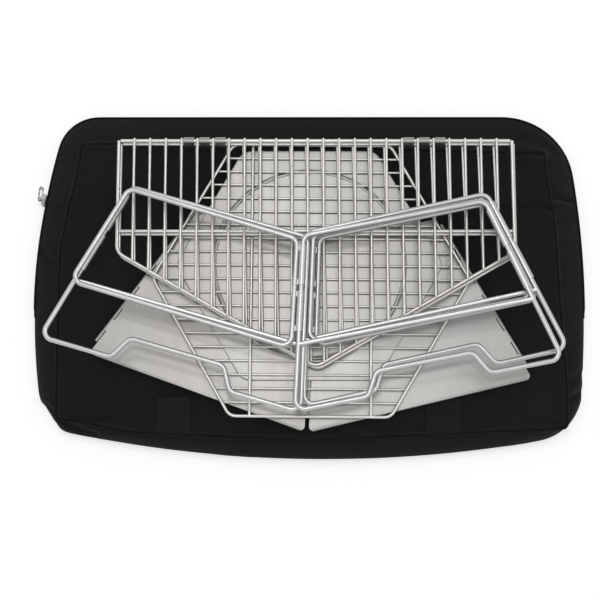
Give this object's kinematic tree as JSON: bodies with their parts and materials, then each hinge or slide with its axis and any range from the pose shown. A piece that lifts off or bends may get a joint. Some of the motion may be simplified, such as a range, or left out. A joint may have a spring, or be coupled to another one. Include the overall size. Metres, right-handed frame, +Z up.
{
  "type": "fire bowl grill",
  "caption": "Folding hexagonal fire bowl grill in stainless steel, packed flat on its black zipped carry bag: wall ring, base plate, ember grate, cooking grate and stand.",
  "frame": {"origin": "middle of the carry bag's underside", "axes": "+Z up from the bag, +X along the bag to the right, +Y to the back of the bag"},
  "size_m": [0.6286, 0.3939, 0.0957],
  "materials": {
    "sheet_steel": "satin rolled stainless sheet",
    "grate_steel": "polished stainless rod and wire",
    "stand_steel": "polished stainless rod",
    "bag_cloth": "black padded woven cloth",
    "webbing": "ribbed black webbing",
    "zip": "black coil zip tape",
    "zip_metal": "black painted cast metal"
  },
  "bodies": {
    "bag": {"bag_body": "bag_cloth", "zip_chain": "zip", "webbing_left": "webbing", "webbing_right": "webbing"},
    "slider": {"zip_slider": "zip_metal"},
    "pull": {"zip_pull": "zip_metal"},
    "wall_a": {"wall_panel_a": "sheet_steel", "wall_pin_ab": "sheet_steel", "wall_pin_fa": "sheet_steel"},
    "wall_b": {"wall_panel_b": "sheet_steel", "wall_pin_bc": "sheet_steel"},
    "wall_c": {"wall_panel_c": "sheet_steel", "wall_pin_cd": "sheet_steel"},
    "wall_d": {"wall_panel_d": "sheet_steel", "wall_pin_de": "sheet_steel"},
    "wall_e": {"wall_panel_e": "sheet_steel", "wall_pin_ef": "sheet_steel"},
    "wall_f": {"wall_panel_f": "sheet_steel"},
    "base": {"base_plate": "sheet_steel"},
    "ember_grate": {"ember_rim": "grate_steel", "ember_bars": "grate_steel", "ember_wires": "grate_steel"},
    "grill_lower": {"grill_lower_rim": "grate_steel", "grill_lower_bars": "grate_steel", "grill_lower_wires": "grate_steel"},
    "grill_clips": {"grill_clip_left": "sheet_steel", "grill_clip_right": "sheet_steel"},
    "grill_upper": {"grill_upper_rim": "grate_steel", "grill_upper_bars": "grate_steel", "grill_upper_wires": "grate_steel"},
    "link_a": {"link_frame_a": "stand_steel", "hinge_sleeves_a": "stand_steel"},
    "leg_a": {"leg_frame_a": "stand_steel"},
    "link_b": {"link_frame_b": "stand_steel", "hinge_sleeves_b": "stand_steel"},
    "leg_b": {"leg_frame_b": "stand_steel"},
    "link_c": {"link_frame_c": "stand_steel", "hinge_sleeves_c": "stand_steel"},
    "leg_c": {"leg_frame_c": "stand_steel"}
  },
  "joints": [
    {"name": "zip_slide", "type": "slide", "parent": "bag", "child": "slider", "axis": [-0.1518, -0.9884, 0], "range_m": [0, 0.06]},
    {"name": "zip_pull_turn", "type": "hinge", "parent": "slider", "child": "pull", "pos_m": [-0.31238, 0.10015, 0.015], "axis": [0, 0, 1], "range_deg": [0, 120]},
    {"name": "bowl_lift", "type": "slide", "parent": "bag", "child": "wall_a", "axis": [0, 0, 1], "range_m": [0, 0.25]},
    {"name": "plate_lift", "type": "slide", "parent": "wall_a", "child": "base", "axis": [0, 0, 1], "range_m": [0, 1.25]},
    {"name": "ember_lift", "type": "slide", "parent": "base", "child": "ember_grate", "axis": [0, 0, 1], "range_m": [0, 0.15]},
    {"name": "grill_lift", "type": "slide", "parent": "ember_grate", "child": "grill_lower", "axis": [0, 0, 1], "range_m": [0, 0.15]},
    {"name": "stand_lift", "type": "slide", "parent": "grill_lower", "child": "link_a", "axis": [0, 0, 1], "range_m": [0, 0.85]},
    {"name": "clip_hinge", "type": "hinge", "parent": "grill_lower", "child": "grill_clips", "pos_m": [0.0078, 0.1548, 0.0572], "axis": [-1, 0, 0], "range_deg": [0, 45]},
    {"name": "grill_hinge", "type": "hinge", "parent": "grill_clips", "child": "grill_upper", "pos_m": [0.006, 0.1572, 0.0622], "axis": [-1, 0, 0], "range_deg": [0, 135]},
    {"name": "wall_hinge_ab", "type": "hinge", "parent": "wall_a", "child": "wall_b", "pos_m": [0.14428, 0.07217, 0.0338], "axis": [-0.5015, 0.8652, 0], "range_deg": [0, 125.54]},
    {"name": "wall_hinge_bc", "type": "hinge", "parent": "wall_b", "child": "wall_c", "pos_m": [0.00779, 0.03965, 0.0368], "axis": [-0.0576, -0.9983, 0], "range_deg": [0, 223.66]},
    {"name": "wall_hinge_cd", "type": "hinge", "parent": "wall_c", "child": "wall_d", "pos_m": [0.14428, 0.07217, 0.0398], "axis": [-0.5015, 0.8652, 0], "range_deg": [0, 125.54]},
    {"name": "wall_hinge_de", "type": "hinge", "parent": "wall_d", "child": "wall_e", "pos_m": [0.00779, 0.03965, 0.0413], "axis": [-0.0576, -0.9983, 0], "range_deg": [0, 49.06]},
    {"name": "wall_hinge_ef", "type": "hinge", "parent": "wall_e", "child": "wall_f", "pos_m": [-0.12406, 0.08764, 0.0398], "axis": [0.5976, 0.8018, 0], "range_deg": [0, 125.54]},
    {"name": "stand_unfold", "type": "hinge", "parent": "link_a", "child": "leg_a", "pos_m": [0.19537, 0.09193, 0.07825], "axis": [-0.4415, 0.8973, 0], "range_deg": [0, 117.36]},
    {"name": "stand_hinge_b", "type": "hinge", "parent": "leg_a", "child": "link_b", "pos_m": [-0.00261, 0.0484, 0.07825], "axis": [-0.0244, -0.9997, 0], "range_deg": [0, 217.44]},
    {"name": "stand_hinge_c", "type": "hinge", "parent": "link_b", "child": "leg_b", "pos_m": [0.19142, 0.08088, 0.09175], "axis": [-0.4195, 0.9078, 0], "range_deg": [0, 117.36]},
    {"name": "stand_hinge_d", "type": "hinge", "parent": "leg_b", "child": "link_c", "pos_m": [-0.00756, 0.0422, 0.09175], "axis": [-0.0488, -0.9988, 0], "range_deg": [0, 50.04]},
    {"name": "stand_hinge_e", "type": "hinge", "parent": "link_c", "child": "leg_c", "pos_m": [-0.19757, 0.09793, 0.085], "axis": [0.5, 0.866, 0], "range_deg": [0, 117.36]}
  ],
  "couplings": [
    {"joint": "clip_hinge", "follows": "stand_lift", "rad_per_m": 0.9239},
    {"joint": "grill_hinge", "follows": "stand_lift", "rad_per_m": 2.7717},
    {"joint": "wall_hinge_ab", "follows": "plate_lift", "rad_per_m": 1.7527},
    {"joint": "wall_hinge_bc", "follows": "plate_lift", "rad_per_m": 3.1226},
    {"joint": "wall_hinge_cd", "follows": "plate_lift", "rad_per_m": 1.7527},
    {"joint": "wall_hinge_de", "follows": "plate_lift", "rad_per_m": 0.68496},
    {"joint": "wall_hinge_ef", "follows": "plate_lift", "rad_per_m": 1.7527},
    {"joint": "stand_hinge_b", "follows": "stand_unfold", "ratio": 1.8526},
    {"joint": "stand_hinge_c", "follows": "stand_unfold", "ratio": 0.9999},
    {"joint": "stand_hinge_d", "follows": "stand_unfold", "ratio": 0.42635},
    {"joint": "stand_hinge_e", "follows": "stand_unfold", "ratio": 0.9999}
  ]
}
